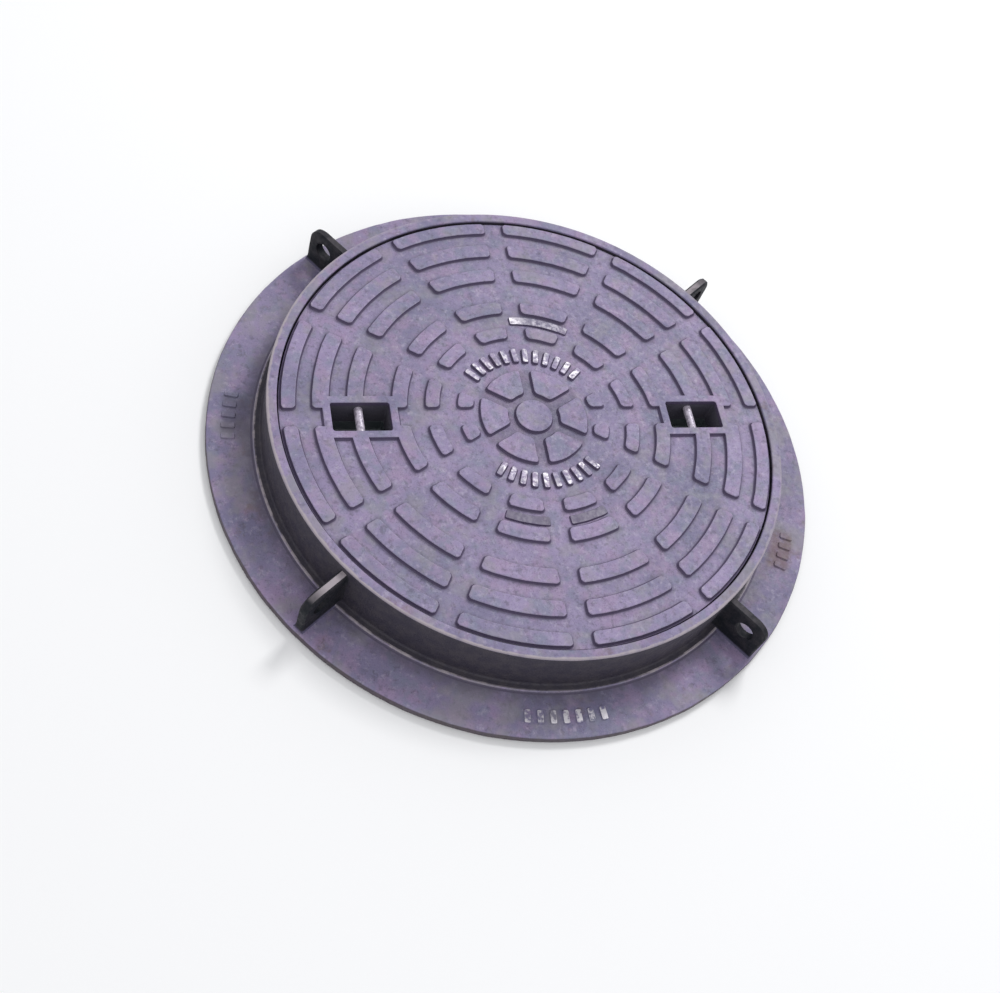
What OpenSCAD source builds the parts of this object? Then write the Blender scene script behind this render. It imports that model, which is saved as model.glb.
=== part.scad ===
// Round heavy-duty manhole cover in its flanged frame.
// Millimetres, +Z up. The origin is the centre of the frame's base, on the plane it is bedded on.
// The two key slots of the cover lie on the X axis.

/* [Cover] */
// Diameter of the cover
cover_d = 650; // [640:1:651]
// Height of the whole set, from the base to the tread's top
set_h = 86; // [82:1:110]
// Thickness of the cover plate under the tread
deck_t = 12; // [8:1:14]
// Radial width of the skirt that stands on the seat
skirt_w = 20; // [14:1:21]

/* [Tread] */
// Height of the raised blocks
block_h = 5; // [2:0.5:7]
// Number of block sectors round the cover
sectors = 12; // [12:1:12]
// Width of the straight channels between sectors
channel_w = 27; // [16:1:32]
// Inner radius of each full ring of blocks, from the outermost in
ring_inner = [304, 263, 220.5, 165, 124]; // [120:0.5:310]
// Radial width of each full ring of blocks, from the outermost in
ring_width = [17.5, 20.5, 20, 19, 17.5]; // [10:0.5:21]

/* [Centre field] */
// Radius of the plain centre boss
centre_boss_r = 24; // [12:1:28]
// Number of pads round the centre boss
pad_count = 6; // [4:1:8]
// Inner radius of the pads
pad_inner = 35; // [32:1:45]
// Outer radius of the pads
pad_outer = 71; // [60:1:74]
// Number of short plain bars in the upper band
upper_bars = 12; // [4:1:14]
// Number of short plain bars in the lower band
lower_bars = 10; // [4:1:12]

/* [Key slots] */
// Distance of each slot's middle from the cover's centre
slot_r = 224; // [222:1:226]
// Length of a slot along its radius
slot_l = 74; // [60:1:76]
// Width of a slot
slot_w = 41; // [34:1:42]
// Width of the raised margin round a slot
margin_w = 10; // [6:1:12]
// Diameter of a lifting bar
bar_d = 11; // [8:1:14]
// Depth of a lifting bar's top under the tread's top
bar_depth = 10; // [8:1:14]
// Length of a lifting bar held in the iron at each end
bar_hold = 9; // [6:1:10]

/* [Underside] */
// Thickness of the ribs
rib_t = 10; // [8:1:14]
// Radius of the middle of the round rib
round_rib_r = 130; // [110:1:140]
// Radius of the hub that the ribs meet in
hub_r = 36; // [25:1:50]
// Thickness of a pocket's long walls
pocket_wall = 9; // [8:1:12]
// Thickness of a pocket's end walls, which take the cup's screws
pocket_end = 15; // [14:1:18]

/* [Frame] */
// Outer diameter of the base flange
flange_d = 816; // [810:1:860]
// Thickness of the base flange
flange_t = 12; // [10:1:16]
// Outer diameter of the ring wall
wall_d = 680; // [678:1:690]
// Gap between the cover and the rim, on the radius
rim_gap = 2.5; // [2:0.5:4]
// Clear opening
opening_d = 600; // [590:1:606]
// Thickness of the seat
seat_t = 11; // [8:1:14]
// Height of the seat above the base
seat_h = 46; // [44:1:47]
// Inner diameter of the wall under the seat
wall_inner_d = 652; // [640:1:656]
// Radial width of the low collar at the wall's foot
collar_w = 9.5; // [5:0.5:12]
// Height of the low collar above the flange
collar_h = 3; // [2:0.5:6]

/* [Anchor lugs] */
// Angle of the first of the four lugs
lug_angle = 38; // [30:1:50]
// Thickness of a lug
lug_t = 12; // [10:1:16]
// Radius that a lug reaches
lug_reach = 403; // [395:1:404]
// Depth of a lug's top under the rim
lug_drop = 11; // [8:1:16]
// Rounding of a lug's outer top corner
lug_round = 20; // [10:1:24]
// Radius of the middle of the hole
lug_hole_r = 376; // [370:1:376]
// Height of the hole
lug_hole_h = 49; // [44:1:50]
// Diameter of the hole
lug_hole_d = 25; // [12:1:26]

/* [Seat gasket] */
// Inner diameter of the gasket
gasket_inner_d = 614; // [612:1:618]
// Radial width of the gasket
gasket_w = 12; // [8:1:13]
// Depth of its groove in the seat
groove_h = 3; // [2:0.5:4]
// Height that it stands above the seat
gasket_proud = 2; // [1:0.5:3]

/* [Key cups] */
// Wall thickness of a cup
cup_t = 3; // [2:0.5:4]
// Depth of a cup under the pocket
cup_depth = 20; // [12:1:22]
// Thread diameter of a cup's screws
screw_d = 6; // [5:1:6]
// Length of a screw's thread
screw_l = 16; // [12:1:20]

/* [Hidden] */
$fn = 96;
cut = 1;                                   // how far a cutting shape runs past the face it cuts
cover_r = cover_d / 2;
deck_top = set_h - block_h;
deck_bottom = deck_top - deck_t;
skirt_bottom = seat_h + gasket_proud;      // the plane where the cover stands on the gasket
rim_inner_r = cover_r + rim_gap;
wall_r = wall_d / 2;
pocket_bottom = skirt_bottom - 4;
pocket_l = slot_l + 2 * pocket_end;
pocket_w = slot_w + 2 * pocket_wall;
margin_half = slot_w / 2 + margin_w;
bar_z = set_h - bar_depth - bar_d / 2;
lug_top = set_h - lug_drop;
screw_head_d = 10;
screw_head_h = 4;
screw_head_gap = 0.5;                      // between a screw's head and the cup's wall
screw_x = slot_l / 2 + cup_t + screw_head_d / 2 + screw_head_gap; // from the slot's middle
screw_hole_play = 0.4;
cup_flange_play = 0.5;                     // room between a cup's flange and the ribs beside the pocket
small_ring = [80, 20];                     // inner radius and width of the innermost, partial ring
small_sectors = [0, 5, 6, 11];             // sectors that have a block of that ring
band_r = 96;                               // middle radius of the two bands of plain bars
bar_size = [22, 8];                        // a plain bar's length along the radius and its width
upper_band = [44, 138];                    // first and last angle of the upper band
lower_band = [234, 312];                   // first and last angle of the lower band
blank_ring = [148, 12];                    // inner radius and width of the blank label pads
blank_h = 2.5;
blank_spans = [[62, 92], [246, 267], [277, 296]];
flange_marks = [[268, 7], [172, 5], [333, 4]]; // angle and count of the plain bars on the flange
mark_size = [17, 8, 2];                    // a flange bar's radial length, width and height
mark_r = 380;
mark_step = 2.4;                           // angle between neighbouring flange bars

// ---- helpers ------------------------------------------------------------------------------------

// A flat ring between two radii, from z upward.
module flat_ring(inner, outer, z, h) {
    translate([0, 0, z])
        difference() {
            cylinder(r = outer, h = h);
            translate([0, 0, -cut]) cylinder(r = inner, h = h + 2 * cut);
        }
}

// A box centred on X and Y, from z upward.
module centred_box(size, z) {
    translate([-size.x / 2, -size.y / 2, z]) cube(size);
}

// The wedge between two angles that are less than a half turn apart.
module wedge(from, to, reach, z, h) {
    middle = (from + to) / 2;
    half = (to - from) / 2;
    far = reach / cos(half);
    translate([0, 0, z])
        linear_extrude(h)
            polygon([[0, 0], far * [cos(from), sin(from)], far * [cos(middle), sin(middle)] / cos(half),
                     far * [cos(to), sin(to)]]);
}

// Places its children at the middle of each key slot: side 0 is on +X, side 1 on -X.
module at_slot(side) {
    rotate(180 * side) translate([slot_r, 0, 0]) children();
}

// ---- cover --------------------------------------------------------------------------------------

// Straight channels across the whole tread, between the sectors.
module channels() {
    for (i = [0 : sectors / 2 - 1])
        rotate(i * 360 / sectors)
            centred_box([cover_d, channel_w, block_h + cut], deck_top);
}

module full_rings() {
    difference() {
        for (i = [0 : len(ring_inner) - 1])
            flat_ring(ring_inner[i], ring_inner[i] + ring_width[i], deck_top - cut, block_h + cut);
        channels();
    }
}

module small_blocks() {
    step = 360 / sectors;
    difference() {
        intersection() {
            flat_ring(small_ring[0], small_ring[0] + small_ring[1], deck_top - cut, block_h + cut);
            for (i = small_sectors)
                wedge(i * step, (i + 1) * step, cover_r / 2, deck_top - 2 * cut, block_h + 4 * cut);
        }
        channels();
    }
}

// A plain boss with plain pads round it.
module centre_field() {
    pad_gap = 15;
    translate([0, 0, deck_top - cut]) cylinder(r = centre_boss_r, h = block_h + cut);
    difference() {
        flat_ring(pad_inner, pad_outer, deck_top - cut, block_h + cut);
        for (i = [0 : pad_count - 1])
            rotate((i + 0.5) * 360 / pad_count)
                translate([0, -pad_gap / 2, deck_top]) cube([pad_outer + cut, pad_gap, block_h + cut]);
    }
}

// A row of plain radial bars between two angles.
module bar_band(span, count) {
    step = (span[1] - span[0]) / (count - 1);
    for (i = [0 : count - 1])
        rotate(span[0] + i * step)
            translate([band_r, 0, 0])
                centred_box([bar_size[0], bar_size[1], block_h - 1 + cut], deck_top - cut);
}

module blank_pads() {
    for (span = blank_spans)
        intersection() {
            flat_ring(blank_ring[0], blank_ring[0] + blank_ring[1], deck_top - cut, blank_h + cut);
            wedge(span[0], span[1], cover_r / 2, deck_top - 2 * cut, blank_h + 4 * cut);
        }
}

module slot_margin() {
    centred_box([slot_l + 2 * margin_w, 2 * margin_half, block_h + cut], deck_top - cut);
}

module slot_hole() {
    centred_box([slot_l, slot_w, set_h], pocket_bottom - cut);
    bar_shape();
}

module pocket() {
    centred_box([pocket_l, pocket_w, deck_bottom - pocket_bottom + cut], pocket_bottom);
}

module screw_holes() {
    for (end = [-1, 1])
        translate([end * screw_x, 0, pocket_bottom - cut])
            cylinder(d = screw_d, h = screw_l + cut);
}

module radial_ribs() {
    for (i = [0 : sectors / 2 - 1])
        rotate(i * 360 / sectors)
            centred_box([2 * (cover_r - skirt_w) + 2, rib_t, deck_bottom - skirt_bottom + cut], skirt_bottom);
}

module cover_casting() {
    color([0.60, 0.56, 0.69])
        difference() {
            union() {
                translate([0, 0, deck_bottom]) cylinder(r = cover_r, h = deck_t);
                flat_ring(cover_r - skirt_w, cover_r, skirt_bottom, deck_bottom - skirt_bottom + cut);
                flat_ring(round_rib_r - rib_t / 2, round_rib_r + rib_t / 2, skirt_bottom,
                          deck_bottom - skirt_bottom + cut);
                translate([0, 0, skirt_bottom]) cylinder(r = hub_r, h = deck_bottom - skirt_bottom + cut);
                radial_ribs();
                full_rings();
                small_blocks();
                centre_field();
                bar_band(upper_band, upper_bars);
                bar_band(lower_band, lower_bars);
                blank_pads();
                for (side = [0, 1]) at_slot(side) {
                    slot_margin();
                    pocket();
                }
            }
            for (side = [0, 1]) at_slot(side) {
                slot_hole();
                screw_holes();
            }
        }
}

// ---- lifting bars -------------------------------------------------------------------------------

module bar_shape() {
    bar_l = slot_w + 2 * bar_hold;
    translate([0, bar_l / 2, bar_z]) rotate([90, 0, 0]) cylinder(d = bar_d, h = bar_l);
}

module lifting_bar(side) {
    color([0.66, 0.62, 0.70]) at_slot(side) bar_shape();
}

// ---- key cups -----------------------------------------------------------------------------------

module key_cup(side) {
    flange_l = pocket_l - 2 * cup_flange_play;
    flange_w = pocket_w - 2 * cup_flange_play;
    bottom = pocket_bottom - cup_depth;
    color([0.13, 0.14, 0.15])
        at_slot(side)
            difference() {
                union() {
                    centred_box([flange_l, flange_w, cup_t], pocket_bottom - cup_t);
                    centred_box([slot_l + 2 * cup_t, slot_w + 2 * cup_t, cup_depth], bottom);
                }
                centred_box([slot_l, slot_w, cup_depth], bottom + cup_t);
                for (end = [-1, 1])
                    translate([end * screw_x, 0, bottom])
                        cylinder(d = screw_d + screw_hole_play, h = cup_depth + cut);
            }
}

module key_cup_screws() {
    head_top = pocket_bottom - cup_t;
    color([0.55, 0.56, 0.58])
        for (side = [0, 1])
            at_slot(side)
                for (end = [-1, 1])
                    translate([end * screw_x, 0, head_top]) {
                        translate([0, 0, -screw_head_h]) cylinder(d = screw_head_d, h = screw_head_h, $fn = 6);
                        cylinder(d = screw_d, h = screw_l - 1);
                    }
}

// ---- frame --------------------------------------------------------------------------------------

// Half section of the frame ring, in radius and height.
module frame_section() {
    base_r = wall_inner_d / 2;
    seat_r = opening_d / 2;
    seat_bottom = seat_h - seat_t;
    knee = 4;                                  // flat under the seat, before its sloping support
    support_h = 16;                            // height of the sloping support under the seat
    edge = 2;                                  // chamfer of the flange's and the collar's edges
    collar_top = flange_t + collar_h;
    polygon([
        [base_r, 0],
        [flange_d / 2 - edge, 0],
        [flange_d / 2, edge],
        [flange_d / 2, flange_t - edge],
        [flange_d / 2 - edge, flange_t],
        [wall_r + collar_w, flange_t],
        [wall_r + collar_w, collar_top - edge],
        [wall_r + collar_w - edge, collar_top],
        [wall_r, collar_top],
        [wall_r, set_h],
        [rim_inner_r, set_h],
        [rim_inner_r, seat_h],
        [seat_r, seat_h],
        [seat_r, seat_bottom],
        [seat_r + knee, seat_bottom],
        [base_r, seat_bottom - support_h],
    ]);
}

module flange_bars() {
    for (mark = flange_marks)
        for (i = [0 : mark[1] - 1])
            rotate(mark[0] + (i - (mark[1] - 1) / 2) * mark_step)
                translate([mark_r, 0, 0])
                    centred_box([mark_size[0], mark_size[1], mark_size[2] + cut], flange_t - cut);
}

module frame_ring() {
    color([0.55, 0.53, 0.61])
        difference() {
            union() {
                rotate_extrude($fn = 192) frame_section();
                flange_bars();
            }
            flat_ring(gasket_inner_d / 2, gasket_inner_d / 2 + gasket_w, seat_h - groove_h, groove_h + cut);
        }
}

// Upright plate with a round outer top corner and a cross hole, shaped to the wall and the collar.
module anchor_lug(index) {
    start = wall_r - 4;
    collar_r = wall_r + collar_w;
    foot = flange_t;
    color([0.45, 0.43, 0.50])
        rotate(lug_angle + (index - 1) * 90)
            difference() {
                rotate([90, 0, 0])
                    translate([0, 0, -lug_t / 2]) {
                        linear_extrude(lug_t)
                            polygon([[start, foot], [lug_reach, foot], [lug_reach, lug_top - lug_round],
                                     [lug_reach - lug_round, lug_top], [start, lug_top]]);
                        translate([lug_reach - lug_round, lug_top - lug_round, 0])
                            cylinder(r = lug_round, h = lug_t);
                    }
                cylinder(r = wall_r, h = set_h);
                cylinder(r = collar_r, h = foot + collar_h);
                translate([lug_hole_r, lug_t, lug_hole_h])
                    rotate([90, 0, 0]) cylinder(d = lug_hole_d, h = 2 * lug_t);
            }
}

module seat_gasket() {
    color([0.10, 0.10, 0.11])
        flat_ring(gasket_inner_d / 2, gasket_inner_d / 2 + gasket_w, seat_h - groove_h,
                  groove_h + gasket_proud);
}

// ---- nodes --------------------------------------------------------------------------------------

frame_ring();
anchor_lug(1);  // anchor_lug_1
anchor_lug(2);  // anchor_lug_2
anchor_lug(3);  // anchor_lug_3
anchor_lug(4);  // anchor_lug_4
seat_gasket();
cover_casting();
lifting_bar(0);  // lifting_bar_right
lifting_bar(1);  // lifting_bar_left
key_cup(0);  // key_cup_right
key_cup(1);  // key_cup_left
key_cup_screws();
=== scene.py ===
import math

import bmesh
import bpy
import numpy as np
from mathutils import Matrix, Vector, noise


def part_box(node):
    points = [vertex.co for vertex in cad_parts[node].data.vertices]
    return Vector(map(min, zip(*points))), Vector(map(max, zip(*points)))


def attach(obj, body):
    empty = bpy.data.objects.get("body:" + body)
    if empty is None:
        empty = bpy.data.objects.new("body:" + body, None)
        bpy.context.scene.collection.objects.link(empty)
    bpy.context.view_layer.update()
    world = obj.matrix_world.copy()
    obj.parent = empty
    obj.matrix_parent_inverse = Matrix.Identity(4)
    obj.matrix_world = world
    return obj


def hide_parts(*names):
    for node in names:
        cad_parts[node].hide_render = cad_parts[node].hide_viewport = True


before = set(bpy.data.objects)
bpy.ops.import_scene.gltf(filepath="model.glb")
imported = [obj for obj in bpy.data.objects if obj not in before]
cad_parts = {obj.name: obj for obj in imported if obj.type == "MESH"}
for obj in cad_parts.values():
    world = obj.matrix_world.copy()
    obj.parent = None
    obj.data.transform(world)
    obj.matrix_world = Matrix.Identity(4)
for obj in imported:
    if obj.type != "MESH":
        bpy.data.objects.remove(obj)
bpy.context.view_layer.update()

# ---- sizes, in millimetres, in the CAD model's own frame ----

MM = 0.001


def box_mm(node):
    """Lowest and highest corner of a CAD node, in millimetres."""
    return [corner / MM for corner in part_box(node)]


COVER_LOW, COVER_HIGH = box_mm("cover_casting")
FRAME_HIGH = box_mm("frame_ring")[1]
GASKET_LOW, GASKET_HIGH = box_mm("seat_gasket")
BAR_LOW, BAR_HIGH = box_mm("lifting_bar_right")

TOP = COVER_HIGH.z
COVER_R = COVER_HIGH.x
FLANGE_R = FRAME_HIGH.x
BLOCK_H = 5.0
DECK_T = 12.0
DECK_TOP = TOP - BLOCK_H
DECK_BOTTOM = DECK_TOP - DECK_T
SEAT_PLANE = GASKET_HIGH.z
POCKET_BOTTOM = COVER_LOW.z
SECTORS = 12
SECTOR = 2 * math.pi / SECTORS
CHANNEL_HALF = 13.5
RINGS = [(304, 321.5), (263, 283.5), (220.5, 240.5), (165, 184), (124, 141.5)]
SMALL_RING = (80, 100)
SMALL_SECTORS = (0, 5, 6, 11)
RIB_HALF = 5.0
ROUND_RIB = (125, 135)
HUB_R = 36.0
SKIRT_W = 20.0
SKIRT_R = COVER_R - SKIRT_W
EDGE_ROUND = 1.0

SLOT_R = (BAR_LOW.x + BAR_HIGH.x) / 2
SLOT_HALF = (37.0, 20.5)
MARGIN_HALF = (47.0, 30.5)
POCKET_HALF = (52.0, 29.5)
BAR_R = (BAR_HIGH.x - BAR_LOW.x) / 2
BAR_Z = (BAR_HIGH.z + BAR_LOW.z) / 2
CUP_WALL = 3.0
CUP_DEPTH = 20.0
SCREW_X = 45.5

WALL_R = 339.4
RIM_GAP = 1.3
RIM_INNER_R = COVER_R + RIM_GAP
FLANGE_T = 12.0
COLLAR_R = 349.5
COLLAR_TOP = 15.0
SEAT_Z = 46.0
SEAT_R = 300.0
SEAT_T = 11.0
BASE_R = 326.0
GROOVE_Z = GASKET_LOW.z
GASKET_R = (307.0, 319.0)

LUG_ANGLES = [38.0 + 90.0 * i for i in range(4)]
LUG_WEAR_AND_HIGHLIGHT = (0.75, 0.1, 1.0, 0.12)     # how pale each lug's upper edge is, from 0 to 1: partly wear, partly a painted highlight
LUG_REACH = 403.0
LUG_TOP = 75.0
LUG_HALF = 6.0
LUG_HOLE = (376.0, 49.0, 12.5)        # its distance from the Z axis, its height and its radius
SHADED_SIDE = 228.0                   # direction, in degrees, of the side of the frame in the key light's shadow, where painted highlights on the ridge and lip are brightest and painted shade on the flange is darkest


# ---- mesh helpers ----

def arc(centre, radius, start, end, steps):
    """Points of an arc in a plane, from one angle in degrees to another."""
    angles = np.radians(np.linspace(start, end, steps + 1))
    return np.column_stack([centre[0] + radius * np.cos(angles), centre[1] + radius * np.sin(angles)])


def rounded(points, radii, steps=4):
    """A closed outline with an arc at each corner: radii holds one radius a corner, 0 for a sharp one."""
    points = np.asarray(points, float)
    out = []
    for i, (corner, radius) in enumerate(zip(points, radii)):
        if radius <= 0:
            out.append(corner[None])
            continue
        back = points[i - 1] - corner
        ahead = points[(i + 1) % len(points)] - corner
        back /= np.linalg.norm(back)
        ahead /= np.linalg.norm(ahead)
        half = math.acos(np.clip(np.dot(back, ahead), -1, 1)) / 2
        middle = (back + ahead) / np.linalg.norm(back + ahead)
        centre = corner + middle * radius / math.sin(half)
        first = corner + back * radius / math.tan(half) - centre
        last = corner + ahead * radius / math.tan(half) - centre
        a = math.atan2(first[1], first[0])
        turn = (math.atan2(last[1], last[0]) - a + math.pi) % (2 * math.pi) - math.pi
        angles = a + np.linspace(0, turn, steps + 1)
        out.append(centre + radius * np.column_stack([np.cos(angles), np.sin(angles)]))
    return np.concatenate(out)


def loop_faces(rows, columns, wrap_rows):
    """Quads of a grid whose columns close on themselves, and whose rows do too if asked."""
    faces = []
    for r in range(rows if wrap_rows else rows - 1):
        a, b = r * columns, (r + 1) % rows * columns
        for c in range(columns):
            d = (c + 1) % columns
            faces.append((a + c, a + d, b + d, b + c))
    return faces


def mesh_from(name, points, faces):
    """A mesh object from points in millimetres."""
    mesh = bpy.data.meshes.new(name)
    mesh.from_pydata((np.asarray(points) * MM).tolist(), [], faces)
    tidy = bmesh.new()
    tidy.from_mesh(mesh)
    bmesh.ops.recalc_face_normals(tidy, faces=tidy.faces)
    tidy.to_mesh(mesh)
    tidy.free()
    piece = bpy.data.objects.new(name, mesh)
    bpy.context.scene.collection.objects.link(piece)
    return piece


def join_shells(shells):
    """Points and faces of several closed shells, as one list each."""
    points, faces, start = [], [], 0
    for shell_points, shell_faces in shells:
        points.append(shell_points)
        faces += [tuple(i + start for i in face) for face in shell_faces]
        start += len(shell_points)
    return np.concatenate(points), faces


def lofted(rings):
    """A closed shell through rings of equally many points, with a flat face at each end."""
    rows, columns = len(rings), len(rings[0])
    faces = loop_faces(rows, columns, False)
    faces.append(tuple(range(columns)))
    faces.append(tuple((rows - 1) * columns + c for c in range(columns)))
    return np.concatenate(rings), faces


def ring_shell(rings):
    """A closed shell through rings of equally many points, with the last joined to the first."""
    return np.concatenate(rings), loop_faces(len(rings), len(rings[0]), True)


def revolved(profile, columns):
    """A ring-shaped shell: profile is a closed outline in radius and height."""
    angles = np.linspace(0, 2 * math.pi, columns, endpoint=False)
    rings = []
    for radius, height in profile:
        rings.append(np.column_stack([radius * np.cos(angles), radius * np.sin(angles),
                                      np.full(columns, height)]))
    return ring_shell(rings)


def at_height(outline, z):
    """A flat outline as points in space at one height."""
    return np.column_stack([outline, np.full(len(outline), z)])


def stacked(*levels):
    """Rings of points, one for each outline maker, inset and height."""
    return [at_height(outline(inset), z) for outline, inset, z in levels]


def turned(points, degrees):
    """Points turned about the Z axis."""
    a = math.radians(degrees)
    turn = np.array([[math.cos(a), math.sin(a), 0], [-math.sin(a), math.cos(a), 0], [0, 0, 1]])
    return points @ turn


def moved(shell, offset=(0, 0, 0), degrees=0.0):
    """A shell moved, then turned about the Z axis."""
    points, faces = shell
    return turned(points + np.asarray(offset, float), degrees), faces


def boolean(piece, tool, operation):
    """Cuts, or joins, piece with tool for good, and deletes tool."""
    step = piece.modifiers.new(operation, "BOOLEAN")
    step.object, step.operation, step.solver = tool, operation, "EXACT"
    result = bpy.data.meshes.new_from_object(piece.evaluated_get(bpy.context.evaluated_depsgraph_get()))
    piece.modifiers.clear()
    piece.data = result
    bpy.data.objects.remove(tool)


# ---- shapes of castings ----

def edge_profile(height, foot, crown, draft, steps=3):
    """Offsets across a raised edge and the heights there: a round foot, a sloping side and a round crown.
    Offset 0 is the middle of the side, and offsets grow into the raised part."""
    slope = math.radians(90 - draft)
    turn = np.linspace(0, slope, steps + 1)
    side = (height - (foot + crown) * (1 - math.cos(slope))) / math.tan(slope)
    foot_x = foot * (np.sin(turn) - math.sin(slope)) - side / 2
    foot_z = foot * (1 - np.cos(turn))
    crown_x = crown * (math.sin(slope) - np.sin(turn[::-1])) + side / 2
    crown_z = height - crown * (1 - np.cos(turn[::-1]))
    return np.concatenate([foot_x, crown_x]), np.concatenate([foot_z, crown_z])


BLOCK_EDGE = edge_profile(BLOCK_H, foot=3.4, crown=0.9, draft=8)
RIB_EDGE = edge_profile(DECK_BOTTOM - SEAT_PLANE, foot=5.0, crown=2.0, draft=4)
CORNER_R = 5.0
CORNER_STEPS = np.array([1.9, 3.1, 4.5])    # extra grid lines that follow a rounded corner


def inside_depth(first, second, corner=CORNER_R):
    """Depth inside a shape from the depths inside two of its edges, with a rounded corner between them."""
    near = np.minimum(first, second)
    round_part = corner - np.hypot(np.maximum(corner - first, 0), np.maximum(corner - second, 0))
    return np.where((first < corner) & (second < corner), round_part, near)


def raised(depth, edge):
    """Height of a raised part where depth is how far a point is inside its outline."""
    return np.interp(depth, *edge)


def merged(lines, extra, least):
    """Sorted grid lines with extra ones between them, where those aren't too near a line."""
    lines = sorted(set(np.round(np.concatenate(lines), 4)))
    kept = [x for x in extra if min(abs(x - y) for y in lines) > least]
    return np.array(sorted(lines + kept))


def surface_noise(points, size, seed):
    """Smooth noise from -1 to 1 at points in millimetres, with features of about one size."""
    shift = Vector((seed * 17.3, seed * -9.1, seed * 4.7))
    return np.array([noise.noise(Vector(p) / size + shift) for p in points])


def cast_wave(points, amount, size, seed):
    """The slight unevenness of a sand casting, along Z, in millimetres."""
    return amount * (surface_noise(points, size, seed) + 0.5 * surface_noise(points, size / 3, seed + 1))


# ---- the cover casting ----

GRID_INNER = 76.0     # inside this radius the grid's columns run straight to the centre


def column_angles(radius, lines, middle_count):
    """Angle of each grid column at one radius, over the whole turn, in radians.
    lines holds the columns' distances from a spoke line, and middle_count more lie between them."""
    beside = np.arcsin(lines / max(radius, GRID_INNER))
    middle = np.linspace(beside[-1], SECTOR - beside[-1], middle_count + 2)[1:-1]
    one = np.concatenate([beside, middle, SECTOR - beside[:0:-1]])
    return np.concatenate([one + k * SECTOR for k in range(SECTORS)])


def sideways(radius, angles):
    """Distance from the nearest spoke line."""
    off = np.mod(angles, SECTOR)
    return radius * np.sin(np.minimum(off, SECTOR - off))


def tread_height(radius, angles):
    """Height of the tread over the plate."""
    from_channel = sideways(radius, angles) - CHANNEL_HALF
    small = np.isin(np.floor(angles / SECTOR).astype(int) % SECTORS, SMALL_SECTORS)
    height = np.zeros_like(angles)
    for ring in RINGS + [SMALL_RING]:
        from_edge = min(radius - ring[0], ring[1] - radius)
        depth = inside_depth(np.full_like(angles, from_edge), from_channel)
        if ring == SMALL_RING:
            depth[~small] = -CORNER_R
        height = np.maximum(height, raised(depth, BLOCK_EDGE))
    return height


def rib_depth(radius, angles):
    """How far the ribs, the hub and the skirt hang under the plate."""
    depths = [
        np.full_like(angles, radius - SKIRT_R),
        np.full_like(angles, min(radius - ROUND_RIB[0], ROUND_RIB[1] - radius)),
        np.full_like(angles, HUB_R - radius),
        RIB_HALF - sideways(radius, angles),
    ]
    return np.max([raised(depth, RIB_EDGE) for depth in depths], axis=0)


def polar_sheet(radii, lines, middle_count, height_at, centre_z):
    """Points, faces and number of columns of a round sheet whose height follows a function of radius
    and angles. Its first row, the outermost, is its edge."""
    rows = []
    for radius in sorted(radii, reverse=True):
        angles = column_angles(radius, lines, middle_count)
        rows.append(np.column_stack([radius * np.cos(angles), radius * np.sin(angles),
                                     height_at(radius, angles)]))
    columns = len(rows[0])
    faces = loop_faces(len(rows), columns, False)
    last = (len(rows) - 1) * columns
    points = np.concatenate(rows + [[[0, 0, centre_z]]])
    faces += [(last + c, last + (c + 1) % columns, len(points) - 1) for c in range(columns)]
    return points, faces, columns


def zipped(first, second, first_start, second_start):
    """Triangles between two closed loops that both run once round the Z axis."""
    turns = [np.mod(np.arctan2(loop[:, 1], loop[:, 0]), 2 * math.pi) for loop in (first, second)]
    orders = [np.argsort(turn) for turn in turns]
    ends = [np.append(turn[order], turn[order][0] + 2 * math.pi) for turn, order in zip(turns, orders)]
    ids = [np.append(order, order[0]) + start for order, start in zip(orders, (first_start, second_start))]
    faces, i, j = [], 0, 0
    while i < len(first) or j < len(second):
        if j == len(second) or (i < len(first) and ends[0][i + 1] <= ends[1][j + 1]):
            faces.append((ids[0][i], ids[0][i + 1], ids[1][j]))
            i += 1
        else:
            faces.append((ids[1][j], ids[0][i], ids[1][j + 1]))
            j += 1
    return [tuple(int(v) for v in face) for face in faces]


TOP_GRID, LOW_GRID = (7.0, 2.2), (14.0, 5.0)     # step between the grid's rows, and the least one
MIDDLE_COLUMNS = 6


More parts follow.
